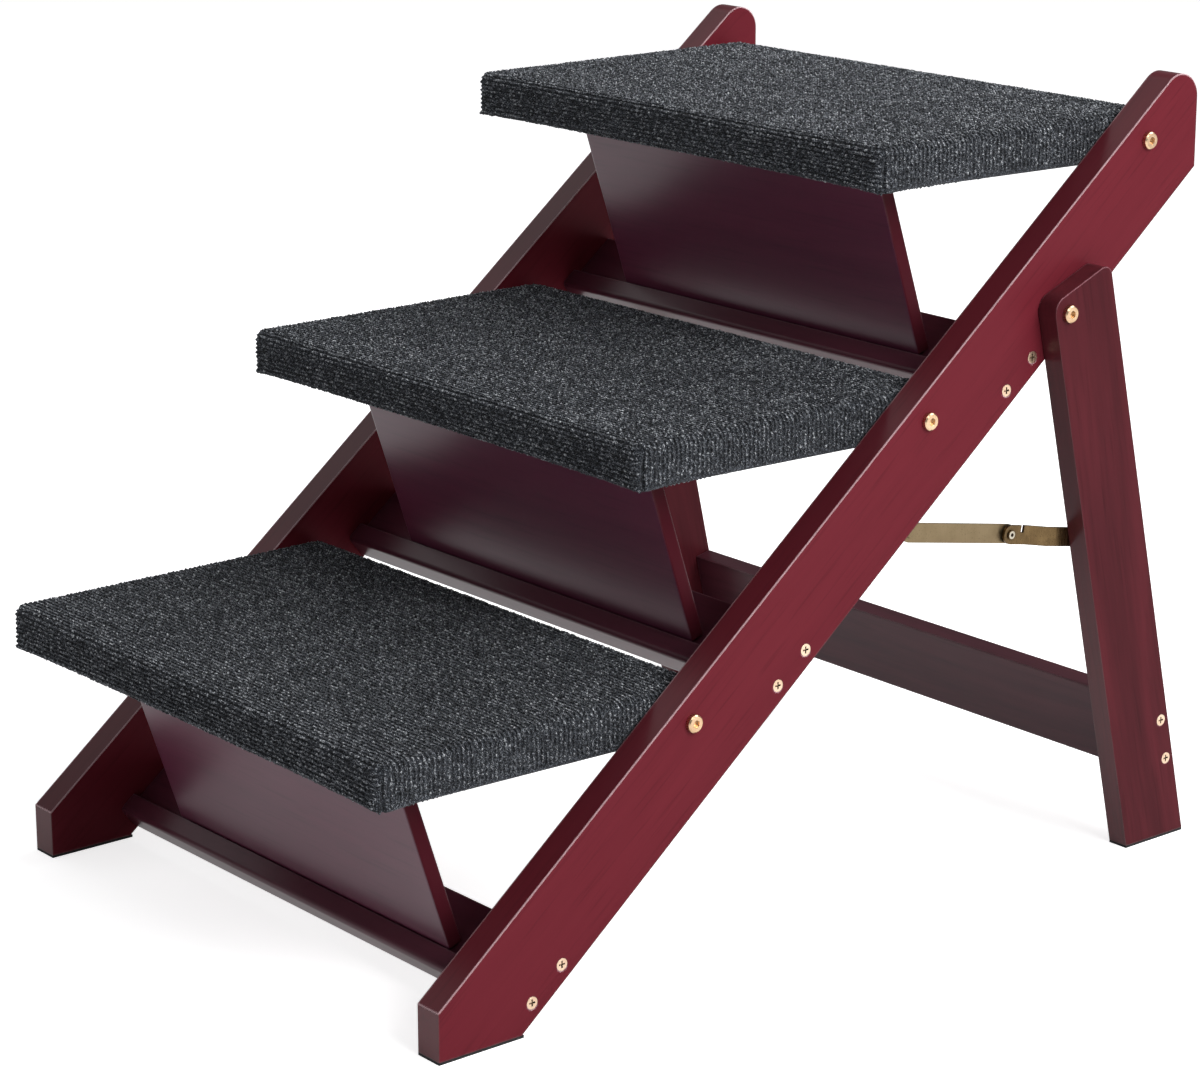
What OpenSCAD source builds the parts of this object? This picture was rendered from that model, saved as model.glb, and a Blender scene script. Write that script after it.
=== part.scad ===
// Folding pet stairs: two side rails carry three carpeted treads, each held level by a
// hinged prop. Two rear legs, tied by a stretcher, are held open by jointed stays.
// With the legs and props folded the treads lie in one plane along the rails, as a ramp.
// X runs across the stairs, Y from the nose to the back, Z up from the floor.

/* [Frame] */
// Width over the outer faces of the two side rails
frame_w = 400; // [320:5:500]
// Distance from the top tread's bolts to the rails' upright rear cut
rail_end = 40.5; // [38:0.5:48]
// Thickness of a side rail
rail_t = 18; // [15:0.5:22]
// Width of a side rail, square to its length
rail_h = 55; // [52:0.5:60]
// Slope of the side rails above the floor
slope = 38.93; // [38:0.1:40]
// Length of the cut that stands on the floor
rail_foot = 52; // [48:0.5:56]
// Radius of the rail's top front corner
rail_top_r = 14.4; // [8:0.2:20]
// Thickness of the rubber pads under the rails and legs
pad_t = 1.5; // [1:0.1:3]
// How far a rail's pad shows behind the rail
pad_over = 1.4; // [0:0.1:4]

/* [Treads] */
// Distance between two treads, along the rails
step_pitch = 219.6; // [219:0.1:224]
// Distance along a rail's back edge from the floor to the first tread's bolt
first_bolt = 185.5; // [180:0.5:190]
// Height of the tread bolts above the rail's back edge
bolt_rise = 40.5; // [39:0.1:43]
// Depth of a tread over its carpet, from front to back
tread_d = 217.6; // [212:0.2:218]
// Distance from a tread's rear face to its bolts
tread_rear = 25.2; // [22:0.1:28]
// Distance from the top of the carpet down to the bolts
tread_drop = 14; // [13:0.1:15]
// Thickness of a tread's board
board_t = 18; // [16:0.5:20]
// Thickness of the carpet
carpet_t = 3.9; // [3:0.1:4.2]
// Width of the carpet's margin under the board
carpet_lap = 28; // [16:1:32]
// Corner radius of the carpet, seen from above
carpet_r = 8; // [5:0.5:12]
// Radius of the carpet's long edges
carpet_edge_r = 5; // [2:0.5:6]
// Gap between a tread's carpet and the rail
tread_gap = 1; // [0.5:0.1:3]

/* [Cross boards] */
// Width of a cross board, along the rails
cross_w = 45; // [38:0.5:45.5]
// Thickness of a cross board
cross_t = 18; // [16:0.5:19]
// Distance along the rails from the floor to the first cross board
cross_start = 8.6; // [7:0.1:10]
// Width of the lip that stops the prop
lip_w = 12.6; // [9:0.1:16]
// Depth of the rebate behind the lip
rebate = 4.8; // [3:0.1:8]
// Radius of the lip's front edges
lip_r = 3; // [1:0.5:5]

/* [Props] */
// Width of a prop board
prop_w = 263.4; // [220:1:290]
// Thickness of a prop board
prop_t = 8.8; // [8:0.1:9.4]
// Distance from a tread's front to the prop's front face, at the underside of the carpet
prop_set = 44.1; // [38:0.5:48]
// Gap between a prop's foot and its cross board
prop_seat_gap = 0.3; // [0.2:0.05:0.6]
// Gap between a prop's front face and the edge of the lip
prop_lip_gap = 1.1; // [0.8:0.1:2]

/* [Prop hinges] */
// Distance from the middle of a tread to each prop hinge
hinge_x = 85; // [60:1:100]
// Length of a hinge
hinge_l = 56; // [40:1:60]
// Width of a hinge leaf from its pin
leaf_w = 15; // [12:0.5:18]
// Thickness of a hinge leaf
leaf_t = 1.2; // [0.8:0.1:1.4]
// Distance from the hinge pin to the wood on each side
pin_off = 2; // [1.9:0.05:2.3]
// Outer radius of the knuckles
knuckle_r = 1.7; // [1.5:0.05:1.7]
// Diameter of the hinge pin
hinge_pin_d = 1.8; // [1.2:0.1:2]
// Gap between two knuckles
knuckle_gap = 0.4; // [0.3:0.1:1]

/* [Legs] */
// Width of a leg
leg_w = 48.1; // [44:0.1:52]
// Thickness of a leg
leg_t = 13.4; // [12:0.2:18]
// Lean of the legs from the floor, over the upright
leg_lean = 12.76; // [11:0.1:14]
// Distance along a rail from the leg bolt up to the top tread's bolt
leg_bolt_below = 114.7; // [108:0.5:124]
// Height of the leg bolt above the rail's back edge
leg_bolt_rise = 19.5; // [19:0.1:24]
// Distance from a leg's rear edge to its bolt
leg_bolt_rear = 37.6; // [35:0.1:38]
// Distance from the leg bolt to the leg's top, along the leg's rear edge
leg_top = 17.4; // [14:0.1:22]
// Slope of the cut across the leg's top
leg_top_cut = 9.5; // [0:0.5:14]
// Radius of the leg's top front corner
leg_front_r = 10; // [4:0.5:14]
// Radius of the leg's top rear corner
leg_rear_r = 6; // [3:0.5:10]
// Height of the stretcher's lower edge, along the legs from the floor
stretcher_low = 40.5; // [30:0.5:60]
// Width of the stretcher, along the legs
stretcher_w = 49.5; // [40:0.5:60]
// Thickness of the stretcher
stretcher_t = 12; // [10:0.1:14]

/* [Bolts and screws] */
// Diameter of the bolts
bolt_d = 6; // [5:0.5:8]
// Diameter of a bolt's head
bolt_head_d = 10; // [9:0.5:13]
// Height of a bolt's head
bolt_head_h = 3; // [2:0.5:4]
// Width across the flats of the hex sockets
socket_w = 4; // [3:0.5:5]
// Depth of the hex sockets
socket_h = 2; // [1:0.5:2]
// Outer diameter of the threaded inserts that hold the bolts
insert_d = 9; // [8.5:0.5:10]
// Length of the threaded inserts
insert_l = 13; // [10:0.5:15]
// Diameter of the countersunk frame screws' heads
screw_head_d = 7; // [6:0.1:8]
// Diameter of the frame screws
screw_d = 3.6; // [3:0.1:4]
// Length of the frame screws
screw_l = 42; // [36:1:50]
// Distance between the two screws in one joint
screw_pitch = 25.8; // [22:0.2:27]
// Height of the cross boards' screws above the rail's back edge
screw_rise = 8.4; // [8:0.1:11]
// Diameter of the heads of the small hinge and bracket screws
small_head_d = 4.6; // [4:0.1:5]
// Diameter of the small screws
small_d = 2.4; // [2:0.1:2.6]
// Length of the small screws
small_l = 7.5; // [5:0.1:8]

/* [Stays] */
// Width of a stay's bars
bar_w = 11.2; // [9:0.1:11.4]
// Thickness of a stay's bars
bar_t = 1.6; // [1.2:0.1:1.6]
// Slope of the front bar down from its bracket
front_bar_angle = 10.72; // [8:0.02:12]
// Length of the front bar between its pivots
front_bar_l = 79.28; // [76:0.1:80]
// Distance along a rail from the stay's bracket pin up to the leg bolt
stay_below = 149.9; // [146:0.5:158]
// Distance from the rail's back edge to the bracket pin
stay_off = 6.1; // [6:0.05:8]
// Length of the rear bar between its pivots
rear_bar_l = 80.91; // [78:0.1:82]
// Slope of the line between the rear bar's pivots
rear_bar_angle = 7.18; // [5:0.02:9]
// Distance from the knee to the crank in the rear bar
crank_l = 46; // [36:1:56]
// Distance from the knee to the start of the rear bar's joggle
joggle_start = 12; // [11:0.5:14]
// Length of the rear bar's joggle
joggle_l = 14; // [10:0.5:20]
// Distance from the knee to the notch in the rear bar's upper edge
notch_at = 7.6; // [6.5:0.1:9]
// Width of the notch
notch_w = 2.4; // [1:0.1:3]
// Depth of the notch
notch_h = 4.2; // [2:0.1:5]
// Diameter of the stay's pins and rivets
pin_d = 3; // [2.5:0.1:3.5]
// Diameter of the stay's rivet heads
rivet_head_d = 5.6; // [5:0.1:6]
// Thickness of the stay's rivet heads
rivet_head_h = 0.8; // [0.5:0.05:0.8]
// Length of the bracket's foot along the rail
bracket_l = 30; // [26:1:40]
// Width of the bracket's foot, across the rail
bracket_w = 8.1; // [7:0.1:8.5]

/* [Clearances] */
// Radial clearance of bolts, screws, pins and inserts in their bores
bore_gap = 0.05; // [0.03:0.01:0.08]
// Clearance between flat faces that turn on each other
face_gap = 0.1; // [0.05:0.05:0.2]
// Thickness of the washer between a rail and its leg
washer_t = 0.5; // [0.4:0.1:1]
// Clearance between the stay's parts, side by side
stay_gap = 0.3; // [0.25:0.05:0.3]

/* [Hidden] */
$fn = 48;

// Colours
LACQUER = "#6d2730";
PLUM = "#4a2a35";
WOOD = "#8a4a3e";
CARPET = "#3c4146";
GOLD = "#b58b45";
BRASS = "#8f7d52";
STEEL = "#a9a294";
RUBBER = "#151515";

// How far a cut or a probe runs past the material
over = 2;

// Places along a rail are given as (s, n): s runs up its back edge from the floor, n out of
// that edge towards the treads
function along(s, n) = [rail_foot + s * cos(slope) - n * sin(slope),
                        s * sin(slope) + n * cos(slope)];
// The place n of a point given by its depth and height
function rail_n(p) = (p[1] * cos(slope)) - (p[0] - rail_foot) * sin(slope);
// A point that lies a distance further in the direction of an angle
function toward(p, angle, distance) = [p[0] + distance * cos(angle), p[1] + distance * sin(angle)];

// X places of the right-hand side
rail_x1 = frame_w / 2;
rail_x0 = rail_x1 - rail_t;
leg_x0 = rail_x1 + washer_t + face_gap;
leg_x1 = leg_x0 + leg_t;

// Rails
last_bolt = first_bolt + 2 * step_pitch;
frame_d = along(last_bolt, bolt_rise)[0] + rail_end;
nose_z = (rail_h - rail_foot * sin(slope)) / cos(slope);
rear_z = (frame_d - rail_foot) * tan(slope);

// Treads, about their bolts
tread_w = 2 * (rail_x0 - tread_gap);
tread_t = board_t + 2 * carpet_t;
tread_front = tread_d - tread_rear;
board_top = tread_drop - carpet_t;
board_under = board_top - board_t;
tread_under = tread_drop - tread_t;

// Props, about the bolts of their tread: the front face runs from the underside of the
// carpet to the edge of the lip on the cross board below
lip_s = cross_start + lip_w;
prop_front = [prop_set - tread_front, tread_under];
prop_foot = along(lip_s + prop_lip_gap, cross_t) - along(first_bolt, bolt_rise);
prop_fall = atan2(prop_front[1] - prop_foot[1], prop_foot[0] - prop_front[0]);
hinge_z = board_under - pin_off;
hinge_run = ((prop_front[1] + (prop_t + pin_off) * cos(prop_fall)) - hinge_z) / sin(prop_fall);
hinge_y = prop_front[0] + (prop_t + pin_off) * sin(prop_fall) + hinge_run * cos(prop_fall);
prop_top = pin_off;
prop_end = (rail_n(along(first_bolt, bolt_rise) + [hinge_y, hinge_z])
            + pin_off * sin(prop_fall + slope - 90) - cross_t + rebate - prop_seat_gap)
           / sin(prop_fall + slope);

// Prop hinges
knuckle_l = (hinge_l - 2 * knuckle_gap) / 3;
leaf_near = knuckle_r + knuckle_gap;
small_at = (leaf_near + leaf_w) / 2;
small_x = hinge_l / 2 - small_head_d;

// Legs: places on a leg are given as (a, b), a along it from its bolt, b out of its rear edge
leg_bolt_s = last_bolt - leg_bolt_below;
leg_bolt = along(leg_bolt_s, leg_bolt_rise);
leg_angle = 90 + leg_lean;
function leg_at(a, b) = toward(toward(leg_bolt, leg_angle, a), leg_angle + 90, b - leg_bolt_rear);
// Where a line along the leg meets the top of its pad
function leg_floor(b) = leg_at((pad_t - leg_at(0, b)[1]) / sin(leg_angle), b);
leg_front_top = leg_top - leg_w * tan(leg_top_cut);
leg_sole = [leg_floor(0), leg_floor(leg_w)];
stretcher_a = -(leg_at(0, 0)[1]) / sin(leg_angle) + stretcher_low;

// Stays
stay_s = leg_bolt_s - stay_below;
stay_pin = along(stay_s, -stay_off);
knee = toward(stay_pin, -front_bar_angle, front_bar_l);
stay_foot = toward(knee, -rear_bar_angle, rear_bar_l);
crank = toward(knee, -front_bar_angle, crank_l);
rear_bar_x1 = leg_x0 - stay_gap;
rear_bar_x0 = rear_bar_x1 - bar_t;
bracket_x0 = rail_x1 - rail_t / 2 - bracket_w + stay_gap;
lug_x1 = bracket_x0 + bracket_w;
front_bar_x0 = lug_x1 + stay_gap;
front_bar_x1 = front_bar_x0 + bar_t;
knee_x0 = front_bar_x1 + stay_gap + rivet_head_h + face_gap;
knee_x1 = knee_x0 + bar_t;

// The model is drawn from the rails' nose and then moved over the middle of its floor plan
front_y = along(first_bolt, bolt_rise)[0] - tread_front;
middle_y = (front_y + frame_d) / 2;
module place() {
    translate([0, -middle_y, 0]) children();
}

module both_sides() {
    children();
    mirror([1, 0, 0]) children();
}

// A side view, given as (depth, height), carried from x0 to x1 across the stairs
module across(x0, x1) {
    translate([x0, 0, 0])
        rotate([90, 0, 90])
            linear_extrude(x1 - x0)
                children();
}

// A shape about a point of the side view, its own Z axis pointing out along +X
module outward(p, x) {
    translate([x, p[0], p[1]])
        rotate([0, 90, 0])
            children();
}

// Rounding of an outline's corner p between its neighbours a and b
function unit(v) = v / norm(v);
function half_angle(a, p, b) = acos(unit(a - p) * unit(b - p)) / 2;
function tangent_point(a, p, b, r) = p + unit(a - p) * r / tan(half_angle(a, p, b));
function round_middle(a, p, b, r) =
    p + unit(unit(a - p) + unit(b - p)) * r / sin(half_angle(a, p, b));
// What the rounding takes off the corner, with its tip an overrun outside the outline
module corner_waste(a, p, b, r) {
    middle = round_middle(a, p, b, r);
    difference() {
        polygon([
            tangent_point(a, p, b, r),
            p + over * unit(p - middle),
            tangent_point(b, p, a, r)
        ]);
        translate(middle) circle(r);
    }
}

// An outline whose corners have the radii given beside them
module rounded_outline(points, radii) {
    last = len(points) - 1;
    difference() {
        polygon(points);
        for (i = [0:last])
            if (radii[i] > 0)
                corner_waste(points[i == 0 ? last : i - 1], points[i],
                             points[i == last ? 0 : i + 1], radii[i]);
    }
}

// A rectangle with its low corner at p
module rounded_box(p, size, r) {
    rounded_outline([p, p + [size[0], 0], p + size, p + [0, size[1]]], [r, r, r, r]);
}

// A flat bar's outline with round ends
module bar_outline(a, b, w) {
    side = (w / 2) * unit([a[1] - b[1], b[0] - a[0]]);
    polygon([a - side, b - side, b + side, a + side]);
    translate(a) circle(w / 2);
    translate(b) circle(w / 2);
}

// Fasteners stand on their own Z axis, with the underside of the head, or the face that a
// countersunk head is flush with, at zero and the shank below it
module bolt(length) {
    crown = bolt_head_h / 4;
    difference() {
        rotate_extrude()
            polygon([
                [0, -length],
                [bolt_d / 2 - crown, -length],
                [bolt_d / 2, -length + crown],
                [bolt_d / 2, 0],
                [bolt_head_d / 2, 0],
                [bolt_head_d / 2, bolt_head_h - crown],
                [bolt_head_d / 2 - crown, bolt_head_h],
                [0, bolt_head_h]
            ]);
        translate([0, 0, bolt_head_h - socket_h])
            cylinder(h = socket_h + over, d = socket_w / cos(30), $fn = 6);
    }
}

module bolt_bore(length) {
    translate([0, 0, -length]) cylinder(h = length + over, d = bolt_d + 2 * bore_gap);
}

module insert() {
    difference() {
        translate([0, 0, -insert_l]) cylinder(h = insert_l, d = insert_d);
        bolt_bore(insert_l + over);
    }
}

module insert_bore() {
    translate([0, 0, -insert_l - bore_gap])
        cylinder(h = insert_l + bore_gap + over, d = insert_d + 2 * bore_gap);
}

module screw(head_d, shank_d, length) {
    sink = (head_d - shank_d) / 2;
    slot = head_d / 7;
    difference() {
        rotate_extrude()
            polygon([
                [0, -length],
                [shank_d / 2, -length + shank_d],
                [shank_d / 2, -sink],
                [head_d / 2, 0],
                [0, 0]
            ]);
        for (turn = [0, 90])
            rotate(turn)
                translate([-head_d / 3.5, -slot / 2, -sink * 0.6])
                    cube([head_d / 1.75, slot, sink]);
    }
}

module screw_bore(head_d, shank_d, length) {
    sink = (head_d - shank_d) / 2;
    translate([0, 0, -sink - bore_gap])
        cylinder(h = sink + bore_gap, d1 = shank_d + bore_gap, d2 = head_d + 3 * bore_gap);
    cylinder(h = over, d = head_d + 3 * bore_gap);
    translate([0, 0, -length - bore_gap]) cylinder(h = length, d = shank_d + 2 * bore_gap);
}

module frame_screw() screw(screw_head_d, screw_d, screw_l);
module frame_screw_bore() screw_bore(screw_head_d, screw_d, screw_l);
module small_screw() screw(small_head_d, small_d, small_l);
module small_screw_bore() screw_bore(small_head_d, small_d, small_l);

// Moves a shape drawn about the first tread's bolts to the tread with index i
module at_tread(i) {
    bolt_at = along(first_bolt + i * step_pitch, bolt_rise);
    translate([0, bolt_at[0], bolt_at[1]]) children();
}

// Both screws of every cross board, on the right-hand rail's outer face
module at_board_screws() {
    for (i = [0:2], k = [-1, 1])
        outward(along(cross_start + cross_w / 2 + i * step_pitch + k * screw_pitch / 2, screw_rise),
                rail_x1)
            children();
}

// Moves a shape drawn on a rail's back edge there, its Y along the edge and its Z out of it
module on_back_edge(s) {
    p = along(s, 0);
    translate([0, p[0], p[1]]) rotate([slope, 0, 0]) children();
}

module at_bracket_screws() {
    for (k = [-1, 1])
        on_back_edge(stay_s + k * (bracket_l / 2 - small_head_d))
            translate([(bracket_x0 + lug_x1 - bar_t) / 2, 0, -bar_t])
                rotate([180, 0, 0])
                    children();
}

module rail_outline() {
    rounded_outline([
        [0, pad_t],
        [0, nose_z],
        [frame_d, (rail_h + (frame_d - rail_foot) * sin(slope)) / cos(slope)],
        [frame_d, rear_z],
        [rail_foot + pad_t / tan(slope), pad_t]
    ], [0, 0, rail_top_r, 0, 0]);
}

module rail() {
    color(LACQUER) difference() {
        across(rail_x0, rail_x1) rail_outline();
        for (i = [0:2])
            at_tread(i) outward([0, 0], rail_x1) bolt_bore(rail_t + over);
        at_board_screws() frame_screw_bore();
        outward(leg_bolt, rail_x1) insert_bore();
        at_bracket_screws() small_screw_bore();
    }
}

module rail_right() place() rail();
module rail_left() place() mirror([1, 0, 0]) rail();

module rail_pads() {
    place() both_sides() color(RUBBER)
        translate([rail_x0, 0, 0])
            cube([rail_t, rail_foot + pad_t / tan(slope) + pad_over, pad_t]);
}

// A cross board has a lip in front of the rebate that the prop stands in
module cross_board(i) {
    p = along(cross_start + i * step_pitch, 0);
    place() color(PLUM) difference() {
        translate([0, p[0], p[1]]) rotate([slope, 0, 0]) across(-rail_x0, rail_x0)
            rounded_outline([
                [0, 0],
                [cross_w, 0],
                [cross_w, cross_t - rebate],
                [lip_w, cross_t - rebate],
                [lip_w, cross_t],
                [0, cross_t]
            ], [lip_r, 0, 0, 0, 0, lip_r]);
        both_sides() at_board_screws() frame_screw_bore();
    }
}

module board_screws() {
    place() color(GOLD) both_sides() at_board_screws() frame_screw();
}

module leg_bolts() {
    place() color(GOLD) both_sides()
        outward(leg_bolt, leg_x1 + face_gap) bolt(leg_x1 + face_gap - rail_x1 + insert_l - over);
}

module leg_inserts() {
    place() color(BRASS) both_sides() outward(leg_bolt, rail_x1) insert();
}

module leg_washers() {
    place() color(STEEL) both_sides() across(rail_x1, rail_x1 + washer_t)
        translate(leg_bolt) difference() {
            circle(d = bolt_head_d + 2 * bolt_head_h);
            circle(d = bolt_d + 2 * bore_gap);
        }
}

// A bracket has a foot along the rail's back edge and a lug that carries the stay's pin
module stay_brackets() {
    place() color(BRASS) both_sides() difference() {
        union() {
            on_back_edge(stay_s)
                translate([bracket_x0, -bracket_l / 2, -bar_t])
                    cube([bracket_w, bracket_l, bar_t]);
            on_back_edge(stay_s) across(lug_x1 - bar_t, lug_x1) {
                polygon([
                    [-bar_w / 2, -stay_off],
                    [bar_w / 2, -stay_off],
                    [bar_w / 2, 0],
                    [-bar_w / 2, 0]
                ]);
                translate([0, -stay_off]) circle(bar_w / 2);
            }
        }
        at_bracket_screws() small_screw_bore();
        outward(stay_pin, lug_x1 + over)
            translate([0, 0, -3 * over]) cylinder(h = 4 * over, d = pin_d + 2 * bore_gap);
    }
}

module bracket_screws() {
    place() color(GOLD) both_sides() at_bracket_screws() small_screw();
}

// A pin with a flat head at each end, the outer one clear of the bar that turns on it
module bracket_pins() {
    place() color(BRASS) both_sides() {
        across(lug_x1 - bar_t, front_bar_x1 + face_gap + rivet_head_h)
            translate(stay_pin) circle(d = pin_d);
        across(lug_x1 - bar_t - rivet_head_h, lug_x1 - bar_t)
            translate(stay_pin) circle(d = rivet_head_d);
        across(front_bar_x1 + face_gap, front_bar_x1 + face_gap + rivet_head_h)
            translate(stay_pin) circle(d = rivet_head_d);
    }
}

// A block about a tread's bolts, drawn in by a margin on every side, with rounded corners in
// plan and, where edge_r isn't zero, along its edges
module tread_block(margin, edge_r) {
    low = [-tread_w / 2 + margin, -tread_front + margin];
    plan = [tread_w - 2 * margin, tread_d - 2 * margin];
    z0 = tread_under + margin;
    height = tread_t - 2 * margin;
    intersection() {
        translate([0, 0, z0])
            linear_extrude(height)
                rounded_box(low, plan, carpet_r - margin);
        across(low[0], low[0] + plan[0])
            rounded_box([low[1], z0], [plan[1], height], edge_r);
        translate([0, low[1] + plan[1], 0]) rotate([90, 0, 0])
            linear_extrude(plan[1])
                rounded_box([low[0], z0], [plan[0], height], edge_r);
    }
}

module tread_bolt_bores() {
    both_sides()
        outward([0, 0], tread_w / 2)
            bolt_bore(carpet_t + insert_l + over);
}

// The two prop hinges of a tread, each about its pin
module at_hinges() {
    for (side = [-1, 1])
        translate([side * hinge_x, hinge_y, hinge_z])
            children();
}

module at_tread_leaf_screws() {
    at_hinges()
        for (k = [-1, 1])
            translate([k * small_x, small_at, pin_off - leaf_t])
                rotate([180, 0, 0])
                    children();
}

module tread_board(i) {
    place() at_tread(i) color(WOOD) difference() {
        tread_block(carpet_t, bore_gap);
        both_sides() outward([0, 0], tread_w / 2 - carpet_t) insert_bore();
        tread_bolt_bores();
        at_tread_leaf_screws() small_screw_bore();
    }
}

// The carpet covers the top and all four edges of a board and laps under it
module carpet(i) {
    lap = carpet_t + carpet_lap;
    place() at_tread(i) color(CARPET) difference() {
        tread_block(0, carpet_edge_r);
        tread_block(carpet_t, bore_gap);
        translate([-tread_w / 2 + lap, -tread_front + lap, tread_under - over])
            cube([tread_w - 2 * lap, tread_d - 2 * lap, carpet_t + 2 * over]);
        tread_bolt_bores();
    }
}

module tread_bolts(i) {
    place() at_tread(i) color(GOLD) both_sides()
        outward([0, 0], rail_x1 + face_gap)
            bolt(face_gap + rail_t + tread_gap + carpet_t + insert_l - over);
}

module tread_inserts(i) {
    place() at_tread(i) color(BRASS) both_sides()
        outward([0, 0], tread_w / 2 - carpet_t) insert();
}

// A knuckle about the hinge pin, from x0 to x1
module knuckle(x0, x1) {
    across(x0, x1) circle(knuckle_r);
}

// Half a hinge that lies flat above its pin and points to +Y, with its knuckles at the
// places given as pairs of X
module leaf(knuckles) {
    difference() {
        union() {
            translate([-hinge_l / 2, leaf_near, pin_off - leaf_t])
                cube([hinge_l, leaf_w - leaf_near, leaf_t]);
            for (k = knuckles) {
                knuckle(k[0], k[1]);
                translate([k[0], 0, pin_off - leaf_t])
                    cube([k[1] - k[0], leaf_near + bore_gap, leaf_t]);
            }
        }
        across(-hinge_l, hinge_l) circle(d = hinge_pin_d + 2 * bore_gap);
    }
}

outer_knuckles = [
    [-hinge_l / 2, -hinge_l / 2 + knuckle_l],
    [hinge_l / 2 - knuckle_l, hinge_l / 2]
];
middle_knuckle = [[-knuckle_l / 2, knuckle_l / 2]];

module tread_leaves(i) {
    place() at_tread(i) color(BRASS) difference() {
        at_hinges() leaf(outer_knuckles);
        at_tread_leaf_screws() small_screw_bore();
    }
}

module hinge_pins(i) {
    place() at_tread(i) color(STEEL) at_hinges()
        across(-hinge_l / 2, hinge_l / 2) circle(d = hinge_pin_d);
}

module tread_leaf_screws(i) {
    place() at_tread(i) color(GOLD) at_tread_leaf_screws() small_screw();
}

// Moves a shape drawn about a hinge pin to a prop: its +Y runs down the prop to the foot and
// its -Z is the side that the wood lies on
module on_prop() {
    translate([0, hinge_y, hinge_z]) rotate([-prop_fall, 0, 0]) children();
}

module at_prop_leaf_screws() {
    for (side = [-1, 1], k = [-1, 1])
        on_prop()
            translate([side * hinge_x + k * small_x, small_at, leaf_t - pin_off])
                children();
}

module prop_board(i) {
    place() at_tread(i) color(PLUM) difference() {
        on_prop()
            translate([-prop_w / 2, -prop_top, -pin_off - prop_t])
                cube([prop_w, prop_top + prop_end, prop_t]);
        at_prop_leaf_screws() small_screw_bore();
    }
}

module prop_leaves(i) {
    place() at_tread(i) color(BRASS) difference() {
        for (side = [-1, 1])
            on_prop()
                translate([side * hinge_x, 0, 0])
                    mirror([0, 0, 1])
                        leaf(middle_knuckle);
        at_prop_leaf_screws() small_screw_bore();
    }
}

module prop_leaf_screws(i) {
    place() at_tread(i) color(GOLD) at_prop_leaf_screws() small_screw();
}

module leg_outline() {
    rounded_outline([
        leg_sole[0],
        leg_at(leg_top, 0),
        leg_at(leg_front_top, leg_w),
        leg_sole[1]
    ], [0, leg_rear_r, leg_front_r, 0]);
}

// The two screws that hold the stretcher, on the right-hand leg's outer face
module at_stretcher_screws() {
    for (k = [-1, 1])
        outward(leg_at(stretcher_a + (stretcher_w + k * screw_pitch) / 2, stretcher_t / 2),
                leg_x1)
            children();
}

module stay_pin_bore() {
    outward(stay_foot, leg_x0 + small_l)
        translate([0, 0, -small_l - over])
            cylinder(h = small_l + over, d = pin_d + 2 * bore_gap);
}

module leg() {
    color(LACQUER) difference() {
        across(leg_x0, leg_x1) leg_outline();
        outward(leg_bolt, leg_x1) bolt_bore(leg_t + over);
        at_stretcher_screws() frame_screw_bore();
        stay_pin_bore();
    }
}

module leg_right() place() leg();
module leg_left() place() mirror([1, 0, 0]) leg();

module leg_pads() {
    y0 = leg_sole[1][0];
    y1 = leg_sole[0][0];
    place() both_sides() color(RUBBER)
        translate([leg_x0, y0, 0])
            cube([leg_t, y1 - y0, pad_t]);
}

module stretcher() {
    place() color(PLUM) difference() {
        across(-leg_x0, leg_x0)
            polygon([
                leg_at(stretcher_a, 0),
                leg_at(stretcher_a + stretcher_w, 0),
                leg_at(stretcher_a + stretcher_w, stretcher_t),
                leg_at(stretcher_a, stretcher_t)
            ]);
        both_sides() at_stretcher_screws() frame_screw_bore();
    }
}

module stretcher_screws() {
    place() color(GOLD) both_sides() at_stretcher_screws() frame_screw();
}

// A pin in a leg's inner face with a flat head over the stay's rear bar
module stay_leg_pins() {
    place() color(BRASS) both_sides() {
        across(rear_bar_x0 - face_gap, leg_x0 + small_l)
            translate(stay_foot) circle(d = pin_d);
        across(rear_bar_x0 - face_gap - rivet_head_h, rear_bar_x0 - face_gap)
            translate(stay_foot) circle(d = rivet_head_d);
    }
}

module stay_front() {
    color(BRASS) across(front_bar_x0, front_bar_x1) difference() {
        bar_outline(stay_pin, knee, bar_w);
        translate(stay_pin) circle(d = pin_d + 2 * bore_gap);
        translate(knee) circle(d = pin_d + 2 * bore_gap);
    }
}

module stay_front_right() place() stay_front();
module stay_front_left() place() mirror([1, 0, 0]) stay_front();

// The rear bar's side view: two lengths joined at a crank, with a notch beyond the knee
module rear_bar_outline() {
    difference() {
        union() {
            bar_outline(knee, crank, bar_w);
            bar_outline(crank, stay_foot, bar_w);
        }
        translate(toward(knee, -front_bar_angle, notch_at))
            rotate(-front_bar_angle)
                translate([0, bar_w / 2 - notch_h])
                    square([notch_w, notch_h + over]);
        translate(knee) circle(d = pin_d + 2 * bore_gap);
        translate(stay_foot) circle(d = pin_d + 2 * bore_gap);
    }
}

// Seen from above the rear bar steps outwards from the knee to the leg's inner face
module stay_rear() {
    bent = joggle_start + joggle_l;
    far = rear_bar_l + bar_w;
    color(BRASS) intersection() {
        across(knee_x0 - over, rear_bar_x1 + over) rear_bar_outline();
        translate([0, knee[0], knee[1]]) rotate([-front_bar_angle, 0, 0])
            translate([0, 0, -2 * bar_w]) linear_extrude(4 * bar_w)
                polygon([
                    [knee_x0, -bar_w],
                    [knee_x1, -bar_w],
                    [knee_x1, joggle_start],
                    [rear_bar_x1, bent],
                    [rear_bar_x1, far],
                    [rear_bar_x0, far],
                    [rear_bar_x0, bent],
                    [knee_x0, joggle_start]
                ]);
    }
}

module stay_rear_right() place() stay_rear();
module stay_rear_left() place() mirror([1, 0, 0]) stay_rear();

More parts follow.
